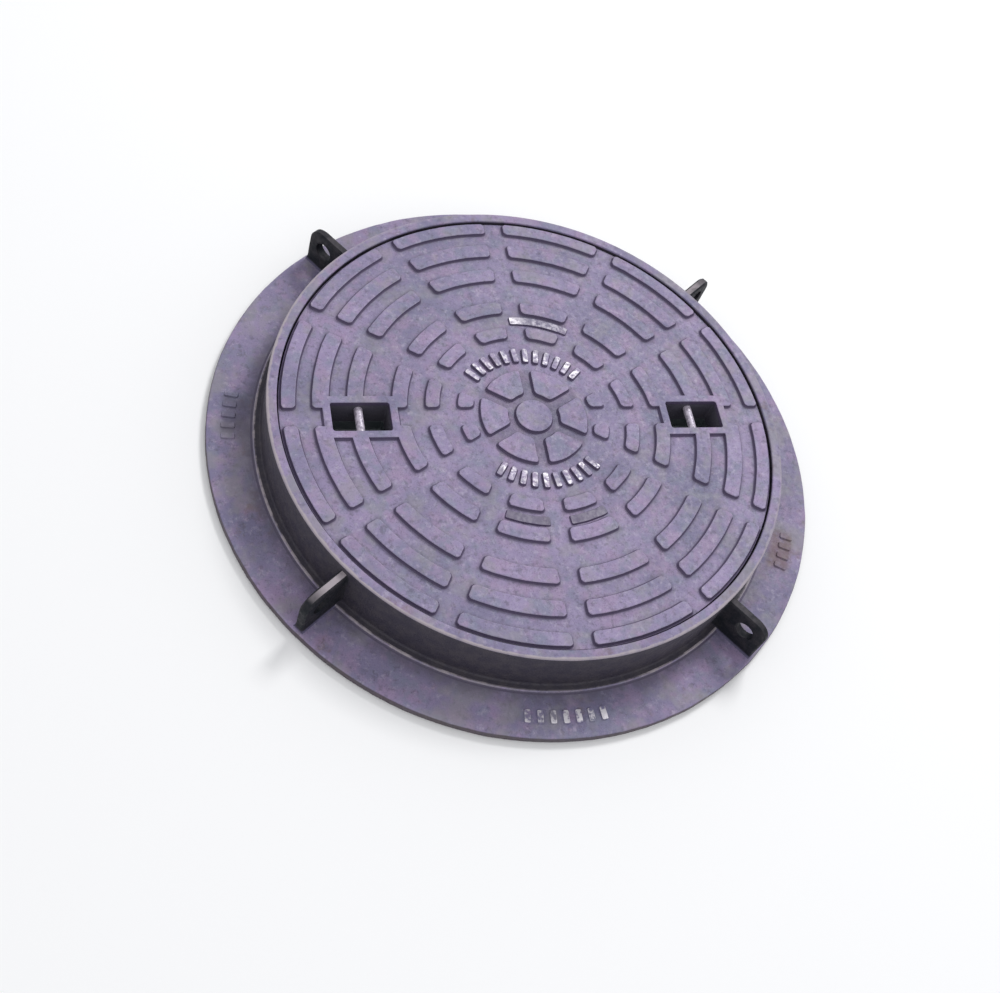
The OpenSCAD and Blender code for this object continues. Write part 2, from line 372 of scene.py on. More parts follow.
def cover_plate():
    """The round plate with its tread, skirt and ribs, as one closed shell."""
    rounding_start = COVER_R - EDGE_ROUND
    beside_spokes = [CHANNEL_HALF + BLOCK_EDGE[0], CHANNEL_HALF + CORNER_STEPS, [0.0, 6.0]]
    rows = [[1.0], COVER_R - EDGE_ROUND * np.array([1.0, 0.5, 0.13, 0.0])]
    across = np.concatenate([BLOCK_EDGE[0], CORNER_STEPS])
    for inner, outer in RINGS + [SMALL_RING]:
        rows += [line[line < rounding_start - 0.2] for line in (inner + across, outer - across)]

    def top_height(radius, angles):
        past = max(radius - rounding_start, 0)
        drop = EDGE_ROUND - math.sqrt(max(EDGE_ROUND**2 - past**2, 0))
        return DECK_TOP + tread_height(radius, angles) - drop

    def sheet(rows, columns, grid, height_at, centre_z):
        step, least = grid
        radii = merged(rows, np.arange(8.0, COVER_R - 3, step), least)
        return polar_sheet(radii, merged(columns, [], 0), MIDDLE_COLUMNS, height_at, centre_z)

    top = sheet(rows, beside_spokes, TOP_GRID, top_height, DECK_TOP)
    beside_ribs = [[0.0], RIB_HALF - RIB_EDGE[0], [16.0]]
    rows = [[1.0, COVER_R - 1.0, COVER_R], SKIRT_R + RIB_EDGE[0], ROUND_RIB[0] + RIB_EDGE[0],
            ROUND_RIB[1] - RIB_EDGE[0], HUB_R - RIB_EDGE[0]]

    def low_height(radius, angles):
        chamfer = 1.0 if radius > COVER_R - 0.5 else 0
        return DECK_BOTTOM - rib_depth(radius, angles) + chamfer

    low = sheet(rows, beside_ribs, LOW_GRID, low_height, SEAT_PLANE)
    start = len(top[0])
    faces = top[1] + [tuple(i + start for i in face) for face in low[1]]
    faces += zipped(top[0][:top[2]], low[0][:low[2]], 0, start)
    return np.concatenate([top[0], low[0]]), faces


def weather(piece, top, edge_radius):
    """Moves a casting's points as its sand mould would: a wavy upper face and slightly wandering outlines.
    Nothing moves up, or out past edge_radius."""
    flat = np.empty(3 * len(piece.data.vertices))
    piece.data.vertices.foreach_get("co", flat)
    points = flat.reshape(-1, 3) / MM
    upper = points[:, 2] > DECK_TOP - 3
    wave = surface_noise(points, 42.0, 3) + 0.5 * surface_noise(points, 15.0, 4)
    points[:, 2] -= np.where(upper, 0.22 * (1.3 + wave).clip(0, 3), 0)
    radius = np.maximum(np.hypot(points[:, 0], points[:, 1]), 1e-6)
    outward = points[:, :2] / radius[:, None]
    shift = 0.45 * surface_noise(points, 11.0, 6)
    near_edge = radius > edge_radius - 5
    shift = np.where(near_edge, -np.abs(1.2 * shift), shift)
    points[:, :2] += outward * (shift * np.clip(radius / 30, 0, 1) * upper)[:, None]
    sideways_shift = 0.40 * surface_noise(points, 12.0, 7) * upper * ~near_edge * np.clip(radius / 30, 0, 1)
    points[:, :2] += np.column_stack([-outward[:, 1], outward[:, 0]]) * sideways_shift[:, None]
    points[:, 2] = np.minimum(points[:, 2], top)
    piece.data.vertices.foreach_set("co", (points * MM).ravel())
    piece.data.update()


def finish_normals(piece, angle):
    """Smooth shading that keeps flat faces flat and sharp edges sharp."""
    piece.data.polygons.foreach_set("use_smooth", [True] * len(piece.data.polygons))
    piece.data.set_sharp_from_angle(angle=math.radians(angle))
    step = piece.modifiers.new("flat faces", "WEIGHTED_NORMAL")
    step.keep_sharp = True


def raised_pad(outline_at, base, height, foot=3.0, crown=0.8):
    """A closed pad on a surface. outline_at gives its outline, drawn in by the inset asked for."""
    offsets, heights = edge_profile(height, foot, crown, draft=9)
    root = (outline_at, offsets[0] + 0.35, base - 1.5)
    return lofted(stacked(root, *[(outline_at, d, base + z) for d, z in zip(offsets[1:], heights[1:])]))


def rectangle_at(half_x, half_y, corner, steps=4):
    """Outline maker of a rectangle with round corners, centred on the origin."""
    def outline(inset):
        x, y = half_x - inset, half_y - inset
        r = max(corner - inset, 0.2)
        return rounded([(x, -y), (x, y), (-x, y), (-x, -y)], [r] * 4, steps)
    return outline


def sector_at(inner, outer, start, end, corner, steps=10):
    """Outline maker of a piece of a ring between two angles in degrees, with round corners."""
    def outline(inset):
        r0, r1 = inner + inset, outer - inset
        side0, side1 = math.degrees(inset / r0), math.degrees(inset / r1)
        c = max(corner - inset, 0.2)
        turn0, turn1 = math.degrees(c / r0), math.degrees(c / r1)
        return np.concatenate([
            polar_corner(r1, start + side1, c, turn1, +1, -1),
            arc((0, 0), r1, start + side1 + turn1, end - side1 - turn1, steps)[1:-1],
            polar_corner(r1, end - side1, c, turn1, -1, -1)[::-1],
            polar_corner(r0, end - side0, c, turn0, -1, +1),
            arc((0, 0), r0, end - side0 - turn0, start + side0 + turn0, steps)[1:-1],
            polar_corner(r0, start + side0, c, turn0, +1, +1)[::-1],
        ])
    return outline


def polar_corner(radius, angle, corner, turn, way, outward, steps=4):
    """Quarter turn from a radial side to an arc, as points from the radial side on."""
    t = np.linspace(0, math.pi / 2, steps + 1)
    radii = radius + outward * corner * (1 - np.sin(t))
    angles = np.radians(angle + way * turn * (1 - np.cos(t)))
    return np.column_stack([radii * np.cos(angles), radii * np.sin(angles)])


UPPER_BAND, LOWER_BAND = (44, 138, 12), (234, 312, 10)
BAND_R, BAND_BAR, BAND_H = 96.0, (11.0, 4.0), BLOCK_H - 1
BLANK_RING, BLANK_H = (148, 160), 2.5
BLANK_SPANS = ((62, 92), (246, 267), (277, 296))
PADS, PAD_RING, PAD_GAP, BOSS_R = 6, (35.0, 71.0), 7.5, 24.0


def band_bars():
    """Two bands of short plain bars round the centre."""
    bar = raised_pad(rectangle_at(*BAND_BAR, 2.5), DECK_TOP, BAND_H, foot=1.5)
    return [moved(bar, (BAND_R, 0, 0), start + (end - start) * i / (count - 1))
            for start, end, count in (UPPER_BAND, LOWER_BAND) for i in range(count)]


def blank_pads():
    """Low plain pads between two rings of blocks."""
    return [raised_pad(sector_at(*BLANK_RING, start, end, 2.0), DECK_TOP, BLANK_H, foot=1.2, crown=0.6)
            for start, end in BLANK_SPANS]


def pad_outline(inset):
    """One pad of the centre field, between two straight gaps that leave the centre."""
    inner, outer = PAD_RING[0] + inset, PAD_RING[1] - inset
    half = math.radians(180 / PADS)
    points = []
    for radius, ends in ((inner, (1, -1)), (outer, (-1, 1))):
        edge = half - math.asin((PAD_GAP + inset) / radius)
        points.append(arc((0, 0), radius, *[math.degrees(edge) * e for e in ends], 8))
    return soft_corners(np.concatenate(points), max(5.0 - inset, 0.5))


def soft_corners(outline, radius, count=72):
    """A closed outline with its corners rounded, as evenly spaced points."""
    closed = np.concatenate([outline, outline[:1]])
    along = np.concatenate([[0], np.cumsum(np.linalg.norm(np.diff(closed, axis=0), axis=1))])
    fine = 12 * count
    at = np.linspace(0, along[-1], fine, endpoint=False)
    dense = np.column_stack([np.interp(at, along, closed[:, k]) for k in (0, 1)])
    reach = max(int(radius / along[-1] * fine), 1)
    total = np.zeros_like(dense)
    for shift in range(-reach, reach + 1):
        total += np.roll(dense, shift, axis=0)
    return (total / (2 * reach + 1))[::12]


def centre_field():
    """A plain round boss with plain pads round it."""
    pad = raised_pad(pad_outline, DECK_TOP, BLOCK_H)
    pads = [moved(pad, degrees=360 / PADS * i) for i in range(PADS)]
    boss = raised_pad(lambda inset: arc((0, 0), BOSS_R - inset, 0, 360, 64)[:-1], DECK_TOP, BLOCK_H)
    return pads + [boss]


def slot_pocket(side):
    """The raised margin of a key slot and the pocket under it, as one closed shell with an open middle."""
    offsets, heights = BLOCK_EDGE
    margin = rectangle_at(*MARGIN_HALF, 4.0)
    pocket = rectangle_at(*POCKET_HALF, 4.0)
    hole = rectangle_at(*SLOT_HALF, 3.0)
    round_over = 1.5
    rings = stacked(
        (pocket, round_over, POCKET_BOTTOM), (pocket, 0.4, POCKET_BOTTOM + 0.4),
        (pocket, 0, POCKET_BOTTOM + round_over), (pocket, 0, DECK_BOTTOM - 3),
        (pocket, -1, DECK_BOTTOM - 1), (pocket, -1, DECK_BOTTOM + 2),
        (margin, offsets[0] + 0.3, DECK_TOP - 2),
        *[(margin, d, DECK_TOP + z) for d, z in zip(offsets[1:], heights[1:])],
        (hole, -round_over, TOP), (hole, -0.45, TOP - 0.45), (hole, 0, TOP - round_over),
        (hole, 0, BAR_Z), (hole, 0, POCKET_BOTTOM))
    return moved(ring_shell(rings), (SLOT_R, 0, 0), 180 * side)


def build_cover():
    """The whole cover casting."""
    piece = mesh_from("cover_iron", *cover_plate())
    cutters = []
    for side in (0, 1):
        outline = rectangle_at(SLOT_HALF[0] + 5, SLOT_HALF[1] + 5, 3.0)
        block = lofted(stacked((outline, 0, POCKET_BOTTOM - 10), (outline, 0, TOP + 10)))
        cutters.append(moved(block, (SLOT_R, 0, 0), 180 * side))
    boolean(piece, mesh_from("cutter", *join_shells(cutters)), "DIFFERENCE")
    shells = [slot_pocket(0), slot_pocket(1)] + centre_field() + band_bars() + blank_pads()
    boolean(piece, mesh_from("additions", *join_shells(shells)), "UNION")
    weather(piece, TOP, COVER_R)
    return piece


# ---- the frame ----

FLANGE_MARKS = ((268, 7), (172, 5), (333, 4))
MARK_R, MARK_STEP, MARK_HALF, MARK_H = 380.0, 2.4, (8.5, 4.0), 2.0


def frame_profile():
    """Half section of the frame ring, with the round edges of a casting."""
    corners = [
        (BASE_R, 0, 1.5), (FLANGE_R, 0, 2.5), (FLANGE_R, FLANGE_T, 3.0), (COLLAR_R, FLANGE_T, 1.2),
        (COLLAR_R, COLLAR_TOP, 1.6), (WALL_R, COLLAR_TOP, 3.0), (WALL_R, TOP, 1.8),
        (RIM_INNER_R, TOP, 1.6), (RIM_INNER_R, SEAT_Z, 1.5),
        (GASKET_R[1], SEAT_Z, 0), (GASKET_R[1], GROOVE_Z, 0),
        (GASKET_R[0], GROOVE_Z, 0), (GASKET_R[0], SEAT_Z, 0),
        (SEAT_R, SEAT_Z, 1.2), (SEAT_R, SEAT_Z - SEAT_T, 2.0), (SEAT_R + 4, SEAT_Z - SEAT_T, 4.0),
        (BASE_R, SEAT_Z - 27, 8.0),
    ]
    outline = rounded([c[:2] for c in corners], [c[2] for c in corners], 4)
    return divided(outline, 9.0)


def divided(outline, longest):
    """A closed outline with its long stretches divided."""
    out = []
    for a, b in zip(outline, np.roll(outline, -1, axis=0)):
        parts = max(1, math.ceil(np.linalg.norm(b - a) / longest))
        out += [a + (b - a) * k / parts for k in range(parts)]
    return np.array(out)


def build_frame_ring():
    """Flange, wall, seat and the plain bars on the flange."""
    points, faces = revolved(frame_profile(), 432)
    radius = np.hypot(points[:, 0], points[:, 1])
    outward = points[:, :2] / radius[:, None]
    rim_shift = 0.35 * surface_noise(points, 30.0, 11) + 0.2 * surface_noise(points, 9.0, 12)
    at_edge = np.clip((radius - FLANGE_R + 6) / 6, 0, 1)
    on_wall = np.clip((radius - WALL_R + 1) / 1, 0, 1) * (1 - np.clip((radius - WALL_R - 2) / 2, 0, 1))
    amount = 1.4 * at_edge + 0.35 * on_wall
    points[:, :2] += outward * ((rim_shift - 0.55) * amount)[:, None]
    upper = (points[:, 2] > FLANGE_T - 0.5) & (points[:, 2] < COLLAR_TOP + 0.5) & (radius > WALL_R)
    points[:, 2] += np.where(upper, cast_wave(points, 0.22, 26.0, 5), 0)
    mark = raised_pad(rectangle_at(*MARK_HALF, 2.0), FLANGE_T, MARK_H, 1.2, 0.6)
    marks = [moved(mark, (MARK_R, 0, 0), middle + (i - (count - 1) / 2) * MARK_STEP)
             for middle, count in FLANGE_MARKS for i in range(count)]
    piece = mesh_from("frame_iron", points, faces)
    boolean(piece, mesh_from("marks", *join_shells(marks)), "UNION")
    return piece


def lug_outline(inset, foot_inset):
    """Side view of a lug, in radius and height, drawn in at its free edges and at its foot."""
    r0, r1 = WALL_R - 1 + foot_inset, LUG_REACH - inset
    z0, z1 = FLANGE_T - 1 + foot_inset, LUG_TOP - inset
    corner = 20.0
    top = np.column_stack([np.linspace(r0, r1 - corner, 9), np.full(9, z1)])
    bend = arc((r1 - corner, z1 - corner), corner, 90, 0, 8)[1:]
    outer = np.column_stack([np.full(8, r1), np.linspace(z1 - corner, z0, 9)[1:]])
    foot = np.column_stack([np.linspace(r1, r0, 11)[1:], np.full(10, z0)])
    back = np.column_stack([np.full(9, r0), np.linspace(z0, z1, 11)[1:-1]])
    return np.concatenate([top, bend, outer, foot, back])


def build_lug(index, angle):
    """Upright plate with a cross hole, rounded at its free edges and flared where it meets the frame."""
    hole_r, hole_z, hole_radius = LUG_HOLE
    flare, crown, lip = 5.0, 2.2, 1.2
    shape = lug_outline(0, 0)
    bearing = np.arctan2(shape[:, 1] - hole_z, shape[:, 0] - hole_r)
    free = (shape[:, 0] > WALL_R + 4) & (shape[:, 1] > FLANGE_T + 2) | (shape[:, 1] > LUG_TOP - 3)
    one_side = []
    for inset, foot_inset, free_half, foot_half in (
            (0.0, -0.6, LUG_HALF - crown, LUG_HALF + 3.6),
            (0.7, 1.2, LUG_HALF - 0.65 * crown, LUG_HALF + 1.3),
            (1.6, 3.0, LUG_HALF - 0.2 * crown, LUG_HALF + 0.3),
            (crown, flare, LUG_HALF, LUG_HALF),
            (crown + 1.2, flare + 1.5, LUG_HALF, LUG_HALF)):
        outline = lug_outline(inset, foot_inset)
        half = np.where(free, free_half, foot_half)
        one_side.append(np.column_stack([outline[:, 0], half, outline[:, 1]]))
    for widening, depth in ((3, 0), (lip, 0), (0.3 * lip, 0.3 * lip), (0, lip)):
        radius = hole_radius + widening
        one_side.append(np.column_stack([hole_r + radius * np.cos(bearing),
                                         np.full(len(shape), LUG_HALF - depth),
                                         hole_z + radius * np.sin(bearing)]))
    points, faces = ring_shell(one_side + [ring * (1, -1, 1) for ring in one_side[::-1]])
    points[:, 1] += np.sign(points[:, 1]) * 0.18 * surface_noise(points, 16.0, 21 + index)
    return mesh_from(f"anchor_lug_iron_{index}", turned(points, angle), faces)


# ---- gasket, bars, cups and screws ----

def build_gasket():
    """Rubber ring with a domed top that the cover stands on, and a lip at each side of it."""
    inner, outer = GASKET_R[0] + 0.3, GASKET_R[1] - 0.3
    middle, low, high = (inner + outer) / 2, GROOVE_Z + 0.1, SEAT_PLANE
    outline = [(inner, low), (outer, low), (outer, SEAT_Z + 0.6), (middle + 3.6, SEAT_Z + 0.5),
               (middle + 2.8, high), (middle - 2.8, high), (middle - 3.6, SEAT_Z + 0.5),
               (inner, SEAT_Z + 0.6)]
    profile = rounded(outline, [0.4, 0.4, 0.6, 0.4, 0.9, 0.9, 0.4, 0.6], 3)
    return mesh_from("gasket_rubber", *revolved(profile, 288))


def build_bar(name, side):
    """Round lifting bar, slightly hollowed in its middle by years of keys, with its ends in the iron."""
    half_length = SLOT_HALF[1] + 8.8
    count = 40
    angles = np.linspace(0, 2 * math.pi, count, endpoint=False)
    rings = []
    for y in np.linspace(-half_length, half_length, 41):
        worn = 0.35 * math.exp(-(y / 9.0) ** 2)
        radius = BAR_R - worn * (0.5 - 0.5 * np.sin(angles)) - 0.05
        rings.append(np.column_stack([SLOT_R + radius * np.cos(angles), np.full(count, y),
                                      BAR_Z + radius * np.sin(angles)]))
    points, faces = moved(lofted(rings), degrees=180 * side)
    points += 0.06 * surface_noise(points, 5.0, 31 + side)[:, None] * (points - [0, 0, BAR_Z]) / 100
    return mesh_from(name, points, faces)


def build_cup(name, side):
    """Moulded cup that closes a key pocket from below, with a flange and two screw holes."""
    flange = rectangle_at(POCKET_HALF[0] - 0.5, POCKET_HALF[1] - 0.5, 5.0)
    body = rectangle_at(SLOT_HALF[0] + CUP_WALL, SLOT_HALF[1] + CUP_WALL, 6.0)
    inside = rectangle_at(SLOT_HALF[0], SLOT_HALF[1], 4.0)
    top, low = POCKET_BOTTOM - 0.02, POCKET_BOTTOM - CUP_DEPTH
    flange_low = POCKET_BOTTOM - CUP_WALL
    rings = stacked(
        (body, 4.0, low), (body, 1.6, low + 0.5), (body, 0.8, low + 2.0), (body, 0.2, low + 8.0),
        (body, 0, flange_low - 1.2), (body, -1.0, flange_low), (flange, 0.6, flange_low),
        (flange, 0, flange_low + 0.6), (flange, 0, top - 0.5), (flange, 0.5, top), (inside, -0.6, top),
        (inside, 0, top - 0.6), (inside, 0.7, low + 7.0), (inside, 1.6, low + CUP_WALL + 1.4),
        (inside, 4.0, low + CUP_WALL))
    piece = mesh_from(name, *moved(lofted(rings), (SLOT_R, 0, 0), 180 * side))
    drills = []
    for end in (-1, 1):
        circle = arc((end * SCREW_X, 0), 3.2, 0, 360, 24)[:-1]
        drill = lofted([at_height(circle, POCKET_BOTTOM - 12), at_height(circle, POCKET_BOTTOM + 5)])
        drills.append(moved(drill, (SLOT_R, 0, 0), 180 * side))
    boolean(piece, mesh_from("drills", *join_shells(drills)), "DIFFERENCE")
    return piece


def screw_shell():
    """Hexagon screw, head down, with its flange face at height 0."""
    head_h, flat_r, shank_r, length = 4.0, 4.33, 3.0, 15.0
    count = 48
    angles = np.linspace(0, 2 * math.pi, count, endpoint=False)
    hexagon = flat_r / np.cos(np.mod(angles, math.pi / 3) - math.pi / 6)

    def ring(radii, z):
        radii = np.broadcast_to(radii, angles.shape)
        return np.column_stack([radii * np.cos(angles), radii * np.sin(angles), np.full(count, z)])

    rings = [ring(1.2, -head_h + 0.3), ring(2.6, -head_h + 0.3), ring(3.0, -head_h),
             ring(np.minimum(hexagon, 4.2), -head_h), ring(np.minimum(hexagon, 4.85), -head_h + 0.45),
             ring(hexagon, -head_h + 1.0), ring(hexagon, -0.5), ring(np.minimum(hexagon, 4.5), 0),
             ring(shank_r, 0), ring(shank_r, length - 1), ring(shank_r - 0.8, length)]
    return lofted(rings)


def build_screws():
    """The four screws that hold the cups."""
    shells = []
    for side in (0, 1):
        for end in (-1, 1):
            placed = moved(screw_shell(), degrees=13.0 + 41 * end)
            shells.append(moved(placed, (SLOT_R + end * SCREW_X, 0, POCKET_BOTTOM - CUP_WALL), 180 * side))
    return mesh_from("cup_screws", *join_shells(shells))


# ---- materials ----

class Graph:
    """A material's node graph, built one node at a time."""

    def __init__(self, name):
        self.material = bpy.data.materials.new(name)
        self.material.use_nodes = True
        self.tree = self.material.node_tree
        self.shader = self.tree.nodes["Principled BSDF"]
        self.place = self.node("ShaderNodeTexCoord")["Object"]
        self.normal = self.node("ShaderNodeTexCoord")["Normal"]

    def join(self, value, socket):
        if isinstance(value, bpy.types.NodeSocket):
            self.tree.links.new(value, socket)
        else:
            socket.default_value = value

    def node(self, kind, inputs=None, **settings):
        """Outputs of a new node. inputs holds numbers, or outputs of other nodes, by input."""
        made = self.tree.nodes.new(kind)
        for key, value in settings.items():
            setattr(made, key, value)
        for key, value in (inputs or {}).items():
            self.join(value, made.inputs[key])
        return made.outputs

    def maths(self, operation, first, second=0.0):
        return self.node("ShaderNodeMath", {0: first, 1: second}, operation=operation)[0]

    def noise(self, size_mm, detail, rough, seed):
        """Noise from 0 to 1 with features of about size_mm."""
        inputs = {"Vector": self.place, "W": seed, "Scale": 1 / (size_mm * MM), "Detail": detail,
                  "Roughness": rough}
        return self.node("ShaderNodeTexNoise", inputs, noise_dimensions="4D")["Fac"]

    def cells(self, size_mm):
        """Distance from the nearest of scattered points, 0 at a point."""
        inputs = {"Vector": self.place, "Scale": 1 / (size_mm * MM)}
        return self.node("ShaderNodeTexVoronoi", inputs)["Distance"]

    def ramp(self, value, low, high, out_low=0.0, out_high=1.0):
        """value from low to high, eased to out_low to out_high."""
        inputs = {"Value": value, "From Min": low, "From Max": high, "To Min": out_low, "To Max": out_high}
        return self.node("ShaderNodeMapRange", inputs, interpolation_type="SMOOTHSTEP")["Result"]

    def patches(self, size_mm, detail, rough, seed, low, high, out_low=0.0, out_high=1.0):
        """Patches of noise: out_low where the noise is under low, out_high where it is over high."""
        return self.ramp(self.noise(size_mm, detail, rough, seed), low, high, out_low, out_high)

    def mix(self, share, first, second):
        """Colour between first and second."""
        a, b = (c if isinstance(c, bpy.types.NodeSocket) else (*c, 1.0) for c in (first, second))
        return self.node("ShaderNodeMix", {"Factor": share, 6: a, 7: b}, data_type="RGBA")[2]

    def bump(self, height, distance_mm, strength, below=None):
        inputs = {"Strength": strength, "Distance": distance_mm * MM, "Height": height}
        if below is not None:
            inputs["Normal"] = below
        return self.node("ShaderNodeBump", inputs)["Normal"]

    def split(self, vector):
        return self.node("ShaderNodeSeparateXYZ", {0: vector})

    def radius_mm(self):
        """Distance from the Z axis, in millimetres."""
        x, y, _ = self.split(self.place)
        squares = self.maths("ADD", self.all_of(x, x), self.all_of(y, y))
        return self.all_of(self.maths("SQRT", squares), 1 / MM)

    def toward(self, degrees):
        """How far a place lies from the Z axis in one direction, in millimetres."""
        x, y, _ = self.split(self.place)
        a = math.radians(degrees)
        return self.maths("ADD", self.all_of(x, math.cos(a) / MM), self.all_of(y, math.sin(a) / MM))

    def height_mm(self):
        return self.all_of(self.split(self.place)[2], 1 / MM)

    def between(self, value, low, high, soft):
        """1 from low to high, easing to 0 over soft on each side."""
        return self.all_of(self.ramp(value, low - soft, low), self.ramp(value, high, high + soft, 1, 0))

    def all_of(self, *shares):
        """Product of shares."""
        total = shares[0]
        for share in shares[1:]:
            total = self.maths("MULTIPLY", total, share)
        return total

    def set(self, **values):
        for key, value in values.items():
            self.join(value, self.shader.inputs[key.replace("_", " ")])

    def set_iron(self, colour, polish, dull, normal):
        """Coated iron whose coat is rubbed off, down to bright metal, by as much as polish says."""
        self.set(Base_Color=colour, Roughness=self.maths("SUBTRACT", dull, self.all_of(polish, GLOSS)),
                 Metallic=self.all_of(polish, METAL), Normal=normal)


def sand_cast(g, coarse=1.0):
    """Normal of a sand casting: lumps, grain and small pits."""
    lumps = g.bump(g.noise(11, 3, 0.6, 1), 0.8 * coarse, 0.5)
    grain = g.bump(g.noise(2.1, 3, 0.6, 2), 0.28 * coarse, 0.7, lumps)
    return g.bump(g.ramp(g.cells(6.0), 0.06, 0.24), 0.3 * coarse, 0.4, grain)


LAVENDER = (0.292, 0.236, 0.395)
SLATE = (0.186, 0.168, 0.284)
MAUVE = (0.318, 0.224, 0.368)
COLD = (0.195, 0.208, 0.300)
GRIME_AND_SHADE = (0.095, 0.085, 0.125)
EDGE_LIGHT = (0.520, 0.470, 0.590)
POLISH_AND_GLINT = (0.640, 0.610, 0.660)
BLACK_AND_SHADE = (0.033, 0.028, 0.045)
BEIGE = (0.370, 0.325, 0.355)
CREVICE = (0.068, 0.049, 0.103)
RUST = (0.160, 0.095, 0.070)
DUST = (0.262, 0.248, 0.270)
DUSTY_SOOT = (0.078, 0.068, 0.074)
DUSTY_WALL = (0.048, 0.041, 0.054)
EDGE_SHADE = (0.050, 0.036, 0.038)
SLOT_SHADE = (0.100, 0.094, 0.125)
GLOSS, METAL = 0.15, 0.4      # how much smoother and more metallic polished iron is


def old_coat(g, seed, light=1.0):
    """Mottled colour of the thin lavender-grey coat, with dull grime in its grain."""
    def tint(colour):
        return tuple(light * x for x in colour)

    broad = g.patches(90, 2, 0.5, seed, 0.36, 0.64)
    colour = g.mix(broad, tint(LAVENDER), tint(SLATE))
    colour = g.mix(g.patches(24, 3, 0.55, seed + 1, 0.44, 0.66, 0, 0.7), colour, tint(MAUVE))
    colour = g.mix(g.patches(19, 3, 0.55, seed + 2, 0.48, 0.68, 0, 0.65), colour, tint(COLD))
    colour = g.mix(g.patches(7, 4, 0.65, seed + 3, 0.52, 0.70, 0, 0.35), colour, EDGE_LIGHT)
    colour = g.mix(g.patches(8, 4, 0.7, seed + 4, 0.32, 0.50, 0.55, 0), colour, GRIME_AND_SHADE)
    return g.mix(g.patches(2, 3, 0.65, seed + 5, 0.30, 0.48, 0.5, 0), colour, GRIME_AND_SHADE)


def bare_iron(g, seed):
    """Black of the faces that never see traffic, with dust and some rust."""
    dusty = g.mix(g.patches(26, 4, 0.65, seed, 0.42, 0.66), BLACK_AND_SHADE, DUSTY_SOOT)
    return g.mix(g.patches(17, 5, 0.7, seed + 1, 0.56, 0.70, 0, 0.5), dusty, RUST)


def beside_blocks(g, reach):
    """1 at the blocks' feet and among the centre's pads, easing to 0 at reach from them."""
    x, y, _ = g.split(g.place)
    stray = g.all_of(g.maths("SUBTRACT", g.noise(9, 3, 0.6, 81), 0.5), 1.5 * reach)
    radius = g.maths("ADD", g.radius_mm(), stray)
    from_spoke = g.maths("PINGPONG", g.maths("ARCTAN2", y, x), SECTOR / 2)
    off_spoke = g.maths("ADD", g.all_of(radius, g.maths("SINE", from_spoke)), stray)
    in_ring = g.between(radius, RINGS[0][0], RINGS[0][1], reach)
    for inner, outer in RINGS[1:]:
        in_ring = g.maths("MAXIMUM", in_ring, g.between(radius, inner, outer, reach))
    round_blocks = g.all_of(in_ring, g.ramp(off_spoke, CHANNEL_HALF - reach, CHANNEL_HALF))
    return g.maths("MAXIMUM", round_blocks, g.ramp(radius, PAD_RING[1], PAD_RING[1] + reach, 1, 0))


def rubbed_marks(g, colour, z, up, radius):
    """Colour with the short bars and the blank pads rubbed bright, partly wear and partly painted glints, or
    grimy, and how polished a place is. The upper blank pad's end near 90 degrees gets a painted glint.
    """
    bar_top, blank_top, bar_reach = DECK_TOP + BAND_H, DECK_TOP + BLANK_H, BAND_BAR[0] + 2
    on_bars = g.all_of(g.between(z, bar_top - 0.5, bar_top + 0.4, 0.2),
                       g.between(radius, BAND_R - bar_reach, BAND_R + bar_reach, 1), g.ramp(up, 0.8, 0.96))
    on_blanks = g.all_of(g.between(z, blank_top - 0.5, blank_top + 0.5, 0.2),
                         g.between(radius, BLANK_RING[0] - 1, BLANK_RING[1] + 1, 1), g.ramp(up, 0.85, 0.97))
    colour = g.mix(g.all_of(on_blanks, g.ramp(g.toward(-90), -20, 20, 0.45, 0.75)), colour, GRIME_AND_SHADE)
    rubbed = g.maths("MAXIMUM", on_bars, g.all_of(on_blanks, g.ramp(g.toward(-90), -20, 20, 0.5, 0.15)))
    # painted glint at the upper blank pad's end near 90 degrees
    blank_end_glint = g.all_of(on_blanks, g.ramp(g.toward(87), 120, 140), g.ramp(g.toward(177), -16, 6),
                         g.patches(6, 3, 0.6, 83, 0.32, 0.58, 0.3, 0.95))
    spots = g.all_of(g.patches(5, 3, 0.6, 8, 0.36, 0.60), g.patches(17, 1, 0.5, 12, 0.38, 0.62, 0.25, 1))
    polish = g.maths("MAXIMUM", g.all_of(rubbed, spots), blank_end_glint)
    return g.mix(polish, colour, POLISH_AND_GLINT), polish


